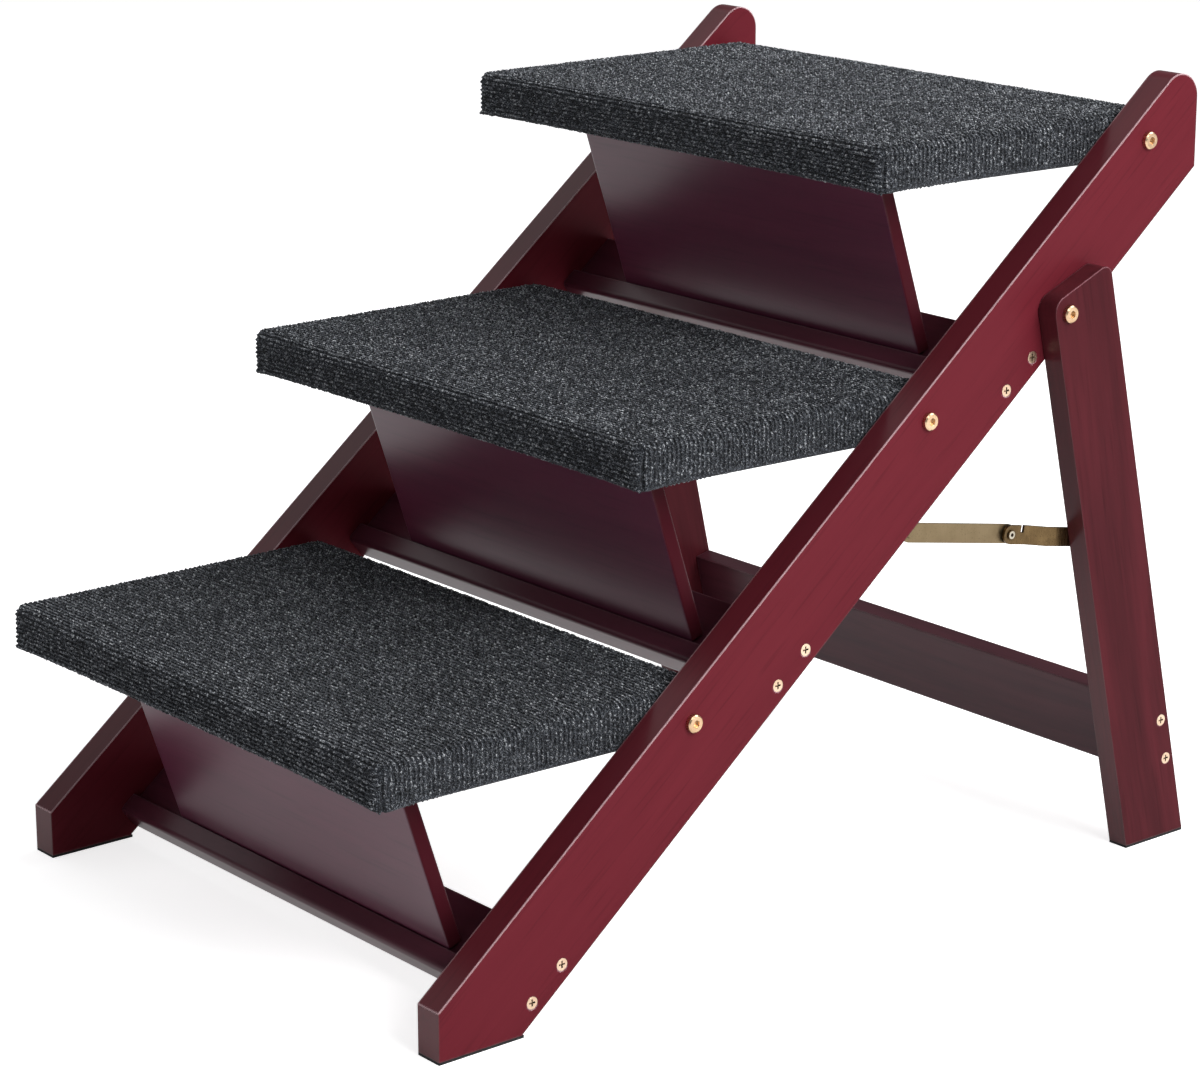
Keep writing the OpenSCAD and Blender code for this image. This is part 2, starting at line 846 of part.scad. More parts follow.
// The knee's rivet is held by the rear bar and ends just short of the front bar
module knee_rivet() {
    color(STEEL) {
        across(knee_x0 - rivet_head_h, knee_x1 + rivet_head_h) translate(knee) circle(d = pin_d);
        across(knee_x0 - rivet_head_h, knee_x0) translate(knee) circle(d = rivet_head_d);
        across(knee_x1, knee_x1 + rivet_head_h) translate(knee) circle(d = rivet_head_d);
    }
}

module knee_rivet_right() place() knee_rivet();
module knee_rivet_left() place() mirror([1, 0, 0]) knee_rivet();

rail_right();
rail_left();
rail_pads();
cross_board(0);  // cross_board_1
cross_board(1);  // cross_board_2
cross_board(2);  // cross_board_3
board_screws();
leg_bolts();
leg_inserts();
leg_washers();
stay_brackets();
bracket_screws();
bracket_pins();
tread_board(0);  // tread_board_1
tread_board(1);  // tread_board_2
tread_board(2);  // tread_board_3
carpet(0);  // carpet_1
carpet(1);  // carpet_2
carpet(2);  // carpet_3
tread_bolts(0);  // tread_bolts_1
tread_bolts(1);  // tread_bolts_2
tread_bolts(2);  // tread_bolts_3
tread_inserts(0);  // tread_inserts_1
tread_inserts(1);  // tread_inserts_2
tread_inserts(2);  // tread_inserts_3
tread_leaves(0);  // tread_leaves_1
tread_leaves(1);  // tread_leaves_2
tread_leaves(2);  // tread_leaves_3
hinge_pins(0);  // hinge_pins_1
hinge_pins(1);  // hinge_pins_2
hinge_pins(2);  // hinge_pins_3
tread_leaf_screws(0);  // tread_leaf_screws_1
tread_leaf_screws(1);  // tread_leaf_screws_2
tread_leaf_screws(2);  // tread_leaf_screws_3
prop_board(0);  // prop_board_1
prop_board(1);  // prop_board_2
prop_board(2);  // prop_board_3
prop_leaves(0);  // prop_leaves_1
prop_leaves(1);  // prop_leaves_2
prop_leaves(2);  // prop_leaves_3
prop_leaf_screws(0);  // prop_leaf_screws_1
prop_leaf_screws(1);  // prop_leaf_screws_2
prop_leaf_screws(2);  // prop_leaf_screws_3
leg_right();
leg_left();
leg_pads();
stretcher();
stretcher_screws();
stay_leg_pins();
stay_front_right();
stay_front_left();
stay_rear_right();
stay_rear_left();
knee_rivet_right();
knee_rivet_left();
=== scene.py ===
"""Folding wooden pet stairs: mahogany-red lacquer, charcoal looped carpet, brass fittings."""
import math

import bmesh
import bpy
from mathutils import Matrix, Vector


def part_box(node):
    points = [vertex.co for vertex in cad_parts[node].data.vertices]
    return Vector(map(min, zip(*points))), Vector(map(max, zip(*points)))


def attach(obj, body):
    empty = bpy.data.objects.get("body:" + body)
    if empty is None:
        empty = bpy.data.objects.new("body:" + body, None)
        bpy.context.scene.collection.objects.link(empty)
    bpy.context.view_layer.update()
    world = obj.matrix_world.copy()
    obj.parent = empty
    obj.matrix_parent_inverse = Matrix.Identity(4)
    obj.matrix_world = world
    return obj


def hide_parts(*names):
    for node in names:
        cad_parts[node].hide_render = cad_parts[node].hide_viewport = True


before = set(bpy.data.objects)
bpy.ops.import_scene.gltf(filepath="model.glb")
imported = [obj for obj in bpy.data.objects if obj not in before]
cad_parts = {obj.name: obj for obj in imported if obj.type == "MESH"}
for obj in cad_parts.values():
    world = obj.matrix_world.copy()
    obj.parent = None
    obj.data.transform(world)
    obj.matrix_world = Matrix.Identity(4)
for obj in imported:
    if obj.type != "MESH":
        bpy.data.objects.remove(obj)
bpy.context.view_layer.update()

MM = 0.001
SLOPE = math.radians(38.93)     # of the side rails over the floor
LEG_LEAN = math.radians(12.76)  # of the legs over the upright
TREADS = ("1", "2", "3")

# Turns that lay a texture's Y along a rail, along a leg, upright and across the stairs
UP_RAIL = (-SLOPE, 0, 0)
UP_LEG = (-(math.pi / 2 + LEG_LEAN), 0, 0)
UPRIGHT = (-math.pi / 2, 0, 0)
ACROSS = (0, 0, math.pi / 2)

FLOAT, VECTOR = "NodeSocketFloat", "NodeSocketVector"
SHAPE, NUMBER, MATERIAL = "NodeSocketGeometry", "NodeSocketInt", "NodeSocketMaterial"

# Where a Mix node keeps its share and its two colours, and the colour it gives
MIX_INPUTS, MIX_OUTPUT = (0, 6, 7), 2


# ---------------------------------------------------------------- node helpers

class Net:
    """Builds one node tree: add() sets plain values and links sockets by name."""

    def __init__(self, tree):
        self.tree = tree

    def clear(self):
        self.tree.nodes.clear()

    def join(self, a, b):
        self.tree.links.new(a, b)

    def put(self, socket, value):
        """Link or set one socket."""
        if isinstance(value, bpy.types.NodeSocket):
            self.join(value, socket)
        elif hasattr(value, "__len__") and len(value) == 3 and socket.type == "RGBA":
            socket.default_value = (*value, 1)
        else:
            socket.default_value = value

    def add(self, kind, settings=None, **inputs):
        node = self.tree.nodes.new(kind)
        for key, value in (settings or {}).items():
            setattr(node, key, value)
        for key, value in inputs.items():
            self.put(node.inputs[key.replace("_", " ")], value)
        return node

    def fill(self, sockets, values):
        """Link or set sockets in turn."""
        for socket, value in zip(sockets, values):
            self.put(socket, value)

    def math(self, what, *terms):
        node = self.add("ShaderNodeMath", {"operation": what})
        self.fill(node.inputs, terms)
        return node.outputs[0]

    def whole_sum(self, *terms):
        """The sum of two whole numbers."""
        node = self.add("FunctionNodeIntegerMath", {"operation": "ADD"})
        self.fill(node.inputs, terms)
        return node.outputs[0]

    def vector(self, what, *terms, **inputs):
        """The outputs of a vector operation."""
        node = self.add("ShaderNodeVectorMath", {"operation": what}, **inputs)
        self.fill(node.inputs, terms)
        return node.outputs

    def span(self, value, low, high, to_low=0.0, to_high=1.0):
        """value from low..high to to_low..to_high, held at both ends."""
        node = self.add("ShaderNodeMapRange", Value=value, From_Min=low, From_Max=high,
                        To_Min=to_low, To_Max=to_high)
        return node.outputs[0]

    def mix(self, share, a, b):
        """Colour a with share of colour b."""
        node = self.add("ShaderNodeMix", {"data_type": "RGBA"})
        self.fill([node.inputs[n] for n in MIX_INPUTS], (share, a, b))
        return node.outputs[MIX_OUTPUT]

    def ramp(self, value, stops):
        node = self.add("ShaderNodeValToRGB", Fac=value)
        bar = node.color_ramp
        while len(bar.elements) < len(stops):
            bar.elements.new(0.5)
        for element, (at, colour) in zip(bar.elements, stops):
            element.position = at
            element.color = (*colour, 1)
        return node.outputs["Color"]

    def noise(self, where, scale, detail=3.0, roughness=0.55):
        node = self.add("ShaderNodeTexNoise", Vector=where, Scale=scale, Detail=detail,
                        Roughness=roughness)
        return node.outputs["Fac"]

    def turned(self, where, turn=(0, 0, 0), scale=(1, 1, 1)):
        node = self.add("ShaderNodeMapping", Vector=where, Rotation=turn, Scale=scale)
        return node.outputs["Vector"]

    def openness(self, reach, samples):
        """How open a point is to the air within reach, from 0 to 1."""
        node = self.add("ShaderNodeAmbientOcclusion", {"samples": samples}, Distance=reach)
        return node.outputs["AO"]

    def group(self, tree, **inputs):
        """The outputs of a node group."""
        return self.add("ShaderNodeGroup", {"node_tree": tree}, **inputs).outputs


def srgb(red, green, blue):
    """A colour written as the eye reads it, 0 to 255, as the renderer's values."""
    def one(level):
        level /= 255
        return level / 12.92 if level <= 0.04045 else ((level + 0.055) / 1.055) ** 2.4
    return (one(red), one(green), one(blue))


def deeper(colour, share):
    """A colour of 0 to 255 at a share of its level, as the renderer's values."""
    return srgb(*(level * share for level in colour))


def new_group(kind, name, inputs, outputs):
    """An empty node group with named sockets: its tree, Net, given sockets and exit."""
    tree = bpy.data.node_groups.new(name, kind)
    for label, socket_kind, value in inputs:
        socket = tree.interface.new_socket(label, in_out="INPUT", socket_type=socket_kind)
        if value is not None:
            socket.default_value = value
    for label, socket_kind in outputs:
        tree.interface.new_socket(label, in_out="OUTPUT", socket_type=socket_kind)
    net = Net(tree)
    return tree, net, net.add("NodeGroupInput").outputs, net.add("NodeGroupOutput")


# ---------------------------------------------------------------- camera and lamps

EYE = (1.5444, -1.2578, 0.7602)
EYE_TILT, EYE_TURN = math.radians(74.85), math.radians(50.22)
LENS, SENSOR = 105.8, 36            # millimetres
SHIFT_X, SHIFT_Y = -0.0249, -0.0418

LAMP_TARGET = (0, 0, 0.2)
LAMPS = (                           # name, place, size, watts
    ("side_lamp", (2.5, 0.2, 1.9), (1.8, 1.4), 68),
    ("rear_lamp", (0.5, 1.8, 2.4), (2.2, 1.6), 50),
    ("front_lamp", (-0.6, -2.8, 1.1), (2.0, 1.6), 5),
    ("left_lamp", (-2.3, -0.25, 2.5), (2.4, 2.0), 8),
)
ROOM_LIGHT = 0.32
ROOM_SHADES = [(0.0, (0.92, 0.92, 0.93)), (0.35, (0.55, 0.55, 0.56)), (1.0, (0.42, 0.42, 0.43))]


def place_camera():
    """The photograph's viewpoint: from the right and a little above the top tread."""
    data = bpy.data.cameras.new("viewpoint")
    data.sensor_width = SENSOR
    data.lens = LENS
    data.shift_x = SHIFT_X
    data.shift_y = SHIFT_Y
    camera = bpy.data.objects.new("viewpoint", data)
    camera.location = EYE
    camera.rotation_euler = (EYE_TILT, 0, EYE_TURN)
    bpy.context.collection.objects.link(camera)
    bpy.context.scene.camera = camera


def soft_box(name, place, size, power):
    """A rectangular studio lamp at place, turned to the stairs."""
    data = bpy.data.lights.new(name, "AREA")
    data.shape = "RECTANGLE"
    data.size, data.size_y = size
    data.energy = power
    lamp = bpy.data.objects.new(name, data)
    lamp.location = place
    way = Vector(LAMP_TARGET) - Vector(place)
    lamp.rotation_euler = way.to_track_quat("-Z", "Y").to_euler()
    bpy.context.collection.objects.link(lamp)


def light_studio():
    """A big lamp on the right, one high behind the stairs, two weak ones and a pale room."""
    for lamp in LAMPS:
        soft_box(*lamp)
    world = bpy.data.worlds.new("room")
    bpy.context.scene.world = world
    world.use_nodes = True
    net = Net(world.node_tree)
    net.clear()
    way = net.add("ShaderNodeTexCoord")
    height = net.add("ShaderNodeSeparateXYZ", Vector=way.outputs["Generated"])
    shade = net.ramp(height.outputs["Z"], ROOM_SHADES)
    back = net.add("ShaderNodeBackground", Color=shade, Strength=ROOM_LIGHT)
    out = net.add("ShaderNodeOutputWorld")
    net.join(back.outputs["Background"], out.inputs["Surface"])


# ---------------------------------------------------------------- shared effects

# How much finer each pattern is across the grain or the brushing than along it
WANDER_STRETCH, BAND_STRETCH = (6, 1.2, 6), (10, 0.55, 10)
PORE_STRETCH, BRUSH_STRETCH = (1, 0.045, 1), (1, 0.03, 1)
SWAY = 0.03                         # how far the bands wander


def make_wood_figure():
    """Straight hardwood figure under stain, with the grain along the texture's Y."""
    tree, net, given, out = new_group(
        "ShaderNodeTree", "wood_figure",
        [("Vector", VECTOR, None), ("Band Scale", FLOAT, 9.0), ("Pore Scale", FLOAT, 420.0)],
        [("Figure", FLOAT), ("Pores", FLOAT), ("Cloud", FLOAT)])
    place = given["Vector"]
    wander = net.noise(net.turned(place, scale=WANDER_STRETCH), 2.0, 2.0)
    sway = net.math("MULTIPLY", wander, SWAY)
    push = net.add("ShaderNodeCombineXYZ", X=sway, Z=sway).outputs[0]
    wide = net.turned(net.vector("ADD", place, push)[0], scale=BAND_STRETCH)
    bands = net.noise(wide, given["Band Scale"], 4.0, 0.6)
    fine = net.turned(place, scale=PORE_STRETCH)
    pores = net.noise(fine, given["Pore Scale"], 2.0, 0.5)
    net.join(net.span(bands, 0.32, 0.7), out.inputs["Figure"])
    net.join(net.span(pores, 0.56, 0.72), out.inputs["Pores"])
    net.join(net.span(net.noise(place, 5.0, 2.0), 0.3, 0.7), out.inputs["Cloud"])
    return tree


def make_edge_wear_and_highlight():
    """The rounded normal near an edge, how near the edge a point is, a mask for a painted
    highlight on the edges that face upwards, and which faces look along or across X."""
    tree, net, given, out = new_group(
        "ShaderNodeTree", "edge_wear_and_highlight",
        [("Radius", FLOAT, 1.5 * MM), ("Vector", VECTOR, None)],
        [("Edge", FLOAT), ("Painted Highlight", FLOAT), ("Across", FLOAT), ("Rounded Normal", VECTOR)])
    soft = net.add("ShaderNodeBevel", {"samples": 4}, Radius=given["Radius"]).outputs[0]
    plain = net.add("ShaderNodeNewGeometry").outputs["Normal"]
    cut = net.vector("DOT_PRODUCT", soft, plain)["Value"]
    near = net.span(cut, 0.995, 0.8)
    patchy = net.span(net.noise(given["Vector"], 60.0), 0.3, 0.6, 0.45, 1.0)
    rise = net.add("ShaderNodeSeparateXYZ", Vector=soft).outputs["Z"]
    # painted highlight: edges whose rounded normal leans upwards, where lamps from above would
    # glint
    lit = net.math("MULTIPLY", net.span(cut, 0.992, 0.91), net.span(rise, 0.12, 0.4))
    sides = net.vector("ABSOLUTE", plain)["Vector"]
    side = net.add("ShaderNodeSeparateXYZ", Vector=sides).outputs["X"]
    net.join(net.math("MULTIPLY", near, patchy), out.inputs["Edge"])
    net.join(lit, out.inputs["Painted Highlight"])
    net.join(net.span(side, 0.3, 0.9, 1.0, 0.0), out.inputs["Across"])
    net.join(soft, out.inputs["Rounded Normal"])
    return tree


def make_metal_marks():
    """Fine brushing along the texture's Y, with small dark specks and patches of tarnish."""
    tree, net, given, out = new_group(
        "ShaderNodeTree", "metal_marks",
        [("Vector", VECTOR, None), ("Brush Scale", FLOAT, 2600.0), ("Speck Scale", FLOAT, 900.0)],
        [("Brush", FLOAT), ("Specks", FLOAT), ("Tarnish", FLOAT)])
    place = given["Vector"]
    lines = net.turned(place, scale=BRUSH_STRETCH)
    specks = net.noise(place, given["Speck Scale"], 2.0, 0.5)
    net.join(net.noise(lines, given["Brush Scale"], 2.0, 0.5), out.inputs["Brush"])
    net.join(net.span(specks, 0.6, 0.72), out.inputs["Specks"])
    net.join(net.span(net.noise(place, 90.0), 0.35, 0.7), out.inputs["Tarnish"])
    return tree


WOOD_FIGURE = make_wood_figure()
EDGE_WEAR_AND_HIGHLIGHT = make_edge_wear_and_highlight()
METAL_MARKS = make_metal_marks()


# ---------------------------------------------------------------- materials

# Shares of each mark in a wood's colour, the last for its painted edge highlight,
# and how bright its pores are beside its dark tone
FIGURE_SHARE, PORE_SHARE, CLOUD_SHARE, PAINTED_HIGHLIGHT_SHARE = 0.75, 0.22, 0.16, 0.95
PORE_DEPTH = 0.45
# colour of the painted shade on a rail's faces that don't look along X
PAINTED_SHADE_TONE = (36, 10, 16)

# The tarnish's share in a metal's colour, and how bright its specks and the painted shade in
# its hollows are beside its dark tone
TARNISH_SHARE, SPECK_DEPTH, HOLLOW_SHADE_DEPTH = 0.7, 0.55, 0.3
HOLLOW_SHADE_REACH = 1.1 * MM             # how near the walls of a hollow darken it

# Where a rivet's bore, painted dark as its shade, ends and its brown rim begins, as shares of its
# radius
BORE_EDGE, RIM_EDGE = (0.38, 0.42), (0.78, 0.84)
BORE_SHADE_TONE, RIM_TONE = (38, 30, 24), (96, 78, 54)

YARN_TONES = [(0.4, (30, 33, 39)), (0.64, (92, 97, 106)), (0.9, (226, 230, 234))]
FIBRE_STRETCH, FIBRE_SCALE = (0.42, 1.7, 1.15), 1050.0
LOOP_SHARE, FIBRE_SHARE = 0.28, 0.72    # in the yarn's shade
GAP_SHADE_REACH = 1.5 * MM                # how near the neighbours of a loop darken its foot

# The floor's own glow, and the share of it that the gloss of the stairs doesn't show
FLOOR_GLOW, GLOSS_LOSS = 0.76, 0.55
FLOOR_SIZE = 40                     # metres


def start_material(name):
    """A new material, its Net, its Principled shader and its Object coordinates."""
    material = bpy.data.materials.new(name)
    material.use_nodes = True
    net = Net(material.node_tree)
    net.clear()
    shader = net.add("ShaderNodeBsdfPrincipled")
    out = net.add("ShaderNodeOutputMaterial")
    net.join(shader.outputs["BSDF"], out.inputs["Surface"])
    place = net.add("ShaderNodeTexCoord").outputs["Object"]
    return material, net, shader, place


def set_up(net, shader, **inputs):
    """Set or link a shader's inputs by name."""
    for key, value in inputs.items():
        net.put(shader.inputs[key.replace("_", " ")], value)


def emboss(net, shader, height, strength, depth, **base):
    """Raise the surface by height, in the shader's normal."""
    bump = net.add("ShaderNodeBump", Strength=strength, Distance=depth, Height=height, **base)
    net.join(bump.outputs["Normal"], shader.inputs["Normal"])


def lacquered_wood(name, light, dark, turn, edge=(150, 88, 96), gloss=0.36, coat=0.35,
                   rounding=1.5 * MM, shine=0.5, ends=None, painted_shade=0.0):
    """Stained, lacquered wood with its grain turned along the piece; ends is the colour of the
    faces that look along X. The other faces can get painted shade, and the edges that face
    upwards a painted highlight in the edge colour."""
    material, net, shader, place = start_material(name)
    wood = net.group(WOOD_FIGURE, Vector=net.turned(place, turn=turn))
    rim = net.group(EDGE_WEAR_AND_HIGHLIGHT, Radius=rounding, Vector=place)
    tone = net.mix(net.math("MULTIPLY", wood["Figure"], FIGURE_SHARE), srgb(*dark), srgb(*light))
    tone = net.mix(net.math("MULTIPLY", wood["Pores"], PORE_SHARE), tone,
                   deeper(dark, PORE_DEPTH))
    tone = net.mix(net.span(wood["Cloud"], 0, 1, 0.0, CLOUD_SHARE), tone, srgb(*dark))
    if ends:
        tone = net.mix(rim["Across"], srgb(*ends), tone)
    # painted shade: the faces that don't look along X drawn darker
    if painted_shade:
        tone = net.mix(net.math("MULTIPLY", rim["Across"], painted_shade), tone, srgb(*PAINTED_SHADE_TONE))
    # painted highlight in the edge colour along the edges that face upwards
    tone = net.mix(net.math("MULTIPLY", rim["Painted Highlight"], PAINTED_HIGHLIGHT_SHARE), tone, srgb(*edge))
    rough = net.math("ADD", net.span(wood["Cloud"], 0, 1, gloss - 0.04, gloss + 0.05),
                     net.math("MULTIPLY", wood["Pores"], 0.03))
    lacquer = net.math("MAXIMUM", net.math("MULTIPLY", rim["Across"], coat), rim["Edge"])
    set_up(net, shader, Base_Color=tone, Roughness=rough, Specular_IOR_Level=shine,
           Coat_Weight=lacquer, Coat_Roughness=0.28)
    emboss(net, shader, net.math("SUBTRACT", 1.0, wood["Pores"]), 0.07, 0.2 * MM,
           Normal=rim["Rounded Normal"])
    return material


def bright_metal(name, light, dark, turn, rough=0.28, brush=0.25, specks=0.0, recess=0.35,
                 hollow=None):
    """Plated or solid metal, brushed along the piece; recess is how dark the painted shade in its
    hollows is, and hollow is the box of a rivet whose bore, along X, is painted dark as shade."""
    material, net, shader, place = start_material(name)
    marks = net.group(METAL_MARKS, Vector=net.turned(place, turn=turn))
    soft = net.group(EDGE_WEAR_AND_HIGHLIGHT, Radius=0.3 * MM, Vector=place)
    tone = net.mix(net.math("MULTIPLY", marks["Tarnish"], TARNISH_SHARE),
                   srgb(*light), srgb(*dark))
    tone = net.mix(net.math("MULTIPLY", marks["Specks"], specks), tone,
                   deeper(dark, SPECK_DEPTH))
    # painted shade: the metal drawn darker where it is closed in, in hollows and where it meets
    # other parts
    bare = net.span(net.openness(HOLLOW_SHADE_REACH, 6), 0.5, 0.95, 1.0 - recess, 1.0)
    tone = net.mix(bare, deeper(dark, HOLLOW_SHADE_DEPTH), tone)
    # painted shade: the rivet's bore drawn dark, then its brown rim
    if hollow:
        low, high = hollow
        middle = (0, (low[1] + high[1]) / 2, (low[2] + high[2]) / 2)
        radius = (high[1] - low[1]) / 2
        off = net.vector("DISTANCE", net.turned(place, scale=(0, 1, 1)), middle)["Value"]
        tone = net.mix(net.span(off, *(share * radius for share in BORE_EDGE)),
                       srgb(*BORE_SHADE_TONE), tone)
        tone = net.mix(net.span(off, *(share * radius for share in RIM_EDGE)),
                       tone, srgb(*RIM_TONE))
    set_up(net, shader, Base_Color=tone, Metallic=1.0,
           Roughness=net.span(marks["Brush"], 0.3, 0.7, rough - 0.06, rough + 0.1))
    emboss(net, shader, marks["Brush"], brush, 0.08 * MM, Normal=soft["Rounded Normal"])
    return material


def pile_carpet(name, low, loops=True):
    """Heathered looped pile: dark yarn with lighter fibres and a tone of its own for every loop;
    low is its darkest colour, also painted as shade in the gaps between loops."""
    material, net, shader, place = start_material(name)
    loop = net.add("ShaderNodeAttribute", {"attribute_name": "loop_shade"}).outputs["Fac"]
    fibre = net.noise(net.turned(place, scale=FIBRE_STRETCH), FIBRE_SCALE, 3.0, 0.8)
    heather = net.math("ADD", net.math("MULTIPLY", loop, LOOP_SHARE),
                       net.span(fibre, 0.38, 0.64, 0.0, FIBRE_SHARE))
    heather = net.math("ADD", heather,
                       net.span(net.noise(place, 24.0), 0.3, 0.7, -0.02, 0.03))
    tone = net.ramp(heather, [(0.0, srgb(*low))] + [(at, srgb(*it)) for at, it in YARN_TONES])
    # painted shade: the feet of the loops drawn darker where their neighbours close them in
    if loops:
        tone = net.mix(net.span(net.openness(GAP_SHADE_REACH, 3), 0.25, 0.8), srgb(*low), tone)
    set_up(net, shader, Base_Color=tone, Roughness=net.span(fibre, 0.3, 0.7, 0.8, 0.98),
           Sheen_Weight=0.12, Sheen_Roughness=0.5, Specular_IOR_Level=0.25)
    emboss(net, shader, fibre, 0.8, 0.6 * MM)
    return material


def foot_rubber(name):
    """Matt black rubber, scuffed."""
    material, net, shader, place = start_material(name)
    grit = net.noise(place, 1500.0)
    scuff = net.span(net.noise(place, 140.0), 0.5, 0.75)
    rim = net.group(EDGE_WEAR_AND_HIGHLIGHT, Radius=0.4 * MM, Vector=place)
    set_up(net, shader, Base_Color=net.mix(scuff, srgb(18, 18, 19), srgb(44, 43, 44)),
           Roughness=net.span(grit, 0.3, 0.7, 0.7, 0.95))
    emboss(net, shader, grit, 0.3, 0.3 * MM, Normal=rim["Rounded Normal"])
    return material


def pale_floor():
    """A white sheet of floor that keeps the shadow of the stairs."""
    bpy.ops.mesh.primitive_plane_add(size=FLOOR_SIZE)
    floor = bpy.context.object
    floor.name = "floor"
    material, net, shader, place = start_material("floor_white")
    haze = net.span(net.noise(place, 3.0), 0.3, 0.7)
    rays = net.add("ShaderNodeLightPath").outputs
    seen = net.math("MAXIMUM", rays["Is Camera Ray"], rays["Is Glossy Ray"])
    seen = net.math("MAXIMUM", seen, rays["Is Transmission Ray"])
    seen = net.math("SUBTRACT", seen, net.math("MULTIPLY", rays["Is Glossy Ray"], GLOSS_LOSS))
    set_up(net, shader, Base_Color=net.mix(haze, (0.86, 0.86, 0.865), (0.9, 0.9, 0.9)),
           Roughness=0.9, Emission_Color=net.mix(seen, (0, 0, 0), (1, 1, 1)),
           Emission_Strength=FLOOR_GLOW)
    floor.data.materials.append(material)


# ---------------------------------------------------------------- CAD pieces that stay

EASING = 0.9 * MM           # how far the edges of the thin boards are cut back


def dress(names, material):
    for name in names:
        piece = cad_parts[name]
        piece.data.materials.clear()
        piece.data.materials.append(material)


def make_long_edges():
    """Marks the sharp edges of a board for the bevel, and leaves out the rims of its bores."""
    tree, net, given, out = new_group(
        "GeometryNodeTree", "long_edges",
        [("Geometry", SHAPE, None), ("Sharp Angle", FLOAT, math.radians(40)),
         ("Least Length", FLOAT, 0.75 * MM)],
        [("Geometry", SHAPE)])
    ends = net.add("GeometryNodeInputMeshEdgeVertices").outputs
    length = net.vector("DISTANCE", ends["Position 1"], ends["Position 2"])["Value"]
    angle = net.add("GeometryNodeInputMeshEdgeAngle").outputs["Unsigned Angle"]
    sharp = net.math("GREATER_THAN", angle, given["Sharp Angle"])
    long = net.math("GREATER_THAN", length, given["Least Length"])
    mark = net.add("GeometryNodeStoreNamedAttribute", {"data_type": "FLOAT", "domain": "EDGE"},
                   Geometry=given["Geometry"], Name="bevel_weight_edge",
                   Value=net.math("MULTIPLY", sharp, long))
    net.join(mark.outputs["Geometry"], out.inputs["Geometry"])
    return tree


def ease_edges(names, width, tree):
    """Join a solid's loose triangles and take the sharpness off its edges."""
    for name in names:
        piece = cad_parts[name]
        weld = piece.modifiers.new("join_faces", "WELD")
        weld.merge_threshold = 0.02 * MM
        flat = piece.modifiers.new("whole_faces", "DECIMATE")
        flat.decimate_type = "DISSOLVE"
        flat.angle_limit = math.radians(0.6)
        mark = piece.modifiers.new("long_edges", "NODES")
        mark.node_group = tree
        edge = piece.modifiers.new("eased_edges", "BEVEL")
        edge.width = width
        edge.segments = 2
        edge.limit_method = "WEIGHT"
        edge.use_clamp_overlap = False
        edge.profile = 0.6


def make_round_shading():
    """Smooth shading that breaks at sharp edges, for turned metal."""
    tree, net, given, out = new_group(
        "GeometryNodeTree", "round_shading",
        [("Geometry", SHAPE, None), ("Sharp Angle", FLOAT, math.radians(32))],
        [("Geometry", SHAPE)])
    joined = net.add("GeometryNodeMergeByDistance", Geometry=given["Geometry"],
                     Distance=0.01 * MM)
    smooth = net.add("GeometryNodeSetShadeSmooth", {"domain": "FACE"},
                     Geometry=joined.outputs["Geometry"], Shade_Smooth=True)
    angle = net.add("GeometryNodeInputMeshEdgeAngle").outputs["Unsigned Angle"]
    sharp = net.add("FunctionNodeCompare", {"data_type": "FLOAT", "operation": "GREATER_THAN"})
    net.put(sharp.inputs["A"], angle)
    net.put(sharp.inputs["B"], given["Sharp Angle"])
    split = net.add("GeometryNodeSetShadeSmooth", {"domain": "EDGE"},
                    Geometry=smooth.outputs["Geometry"], Selection=sharp.outputs["Result"],
                    Shade_Smooth=False)
    net.join(split.outputs["Geometry"], out.inputs["Geometry"])
    return tree


def round_off(names, tree):
    for name in names:
        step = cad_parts[name].modifiers.new("round_shading", "NODES")
        step.node_group = tree


# ---------------------------------------------------------------- shape of the carpet

PILE = 1.1 * MM             # height of the loops over the woven backing
ROW_PITCH = 3.0 * MM        # from one row of loops to the next
END_PITCH = ROW_PITCH * 0.82    # the same on the front and the back
LOOP_PITCH = 2.2 * MM       # from loop to loop along a row
CORNER = 8 * MM             # corner radius, seen from above
BROW = 5 * MM               # radius of the upper edges
ARC = BROW * math.pi / 2    # length of cloth round an upper edge
LAP = 28 * MM               # carpet turned in under the board
THICK = 3.9 * MM            # of the whole carpet
HEM = 2.3 * MM              # height of the bare fold along the lower edge of the sides
SEAM_DEPTH = 1.1 * MM       # the closed cut at each front corner
SEAMS = (5, 147)            # its places among plan_ring's points

FRONT_LIFT = 2.6 * MM       # of the lower edge in the middle of the front
CORNER_HANG = 2.0 * MM      # of the lower edge at the front corners
SIDE_LIFT = 0.8 * MM        # of the sides' lower edge at the front
SIDE_HANG = 4.0 * MM        # and how much lower that edge is at the back
CORNER_HOLD, SIDE_HOLD = 24, 30    # how closely the hang keeps to the corners and sides

CORNER_STEPS, SIDE_STEPS = 8, 40   # points along each corner and each side of a ring
BROW_STEPS = 6                     # rings up the upper edge
CORNER_REACH = math.radians(38)    # how far round a corner the front and back rows go

# How deep things lie in from the carpet's outline
BACKING_SKIN = PILE * 0.75  # the backing under the loops
HEM_SKIN = PILE * 0.3       # the bare fold
LOOP_SKIN = PILE * 0.55     # the middle of a loop
MARGIN_SKIN = PILE * 0.45   # the same underneath
MARGIN_INSET = 2.5 * MM     # the first loop of the margin
OVER_HEM = 0.5 * MM         # from the bare fold to the end of the side rows
END_FOOT = 1.2 * MM         # from the underside to the end of the front and back rows
LAST_GAP = 0.35             # left below the last of those rows, in rows


def hem_rise(x, y, low, high):
    """How far the lower edge lifts in the middle of the front, and hangs at its corners and
    along the sides towards the back."""
    ahead = max(0.0, 1 - (y - low[1]) / (3 * CORNER))
    share = min(abs(x) / high[0], 1.0)
    behind = (y - low[1]) / (high[1] - low[1])
    return (ahead * (FRONT_LIFT * (1 - share ** 2) - CORNER_HANG * share ** CORNER_HOLD)
            + (SIDE_LIFT - SIDE_HANG * behind) * share ** SIDE_HOLD)


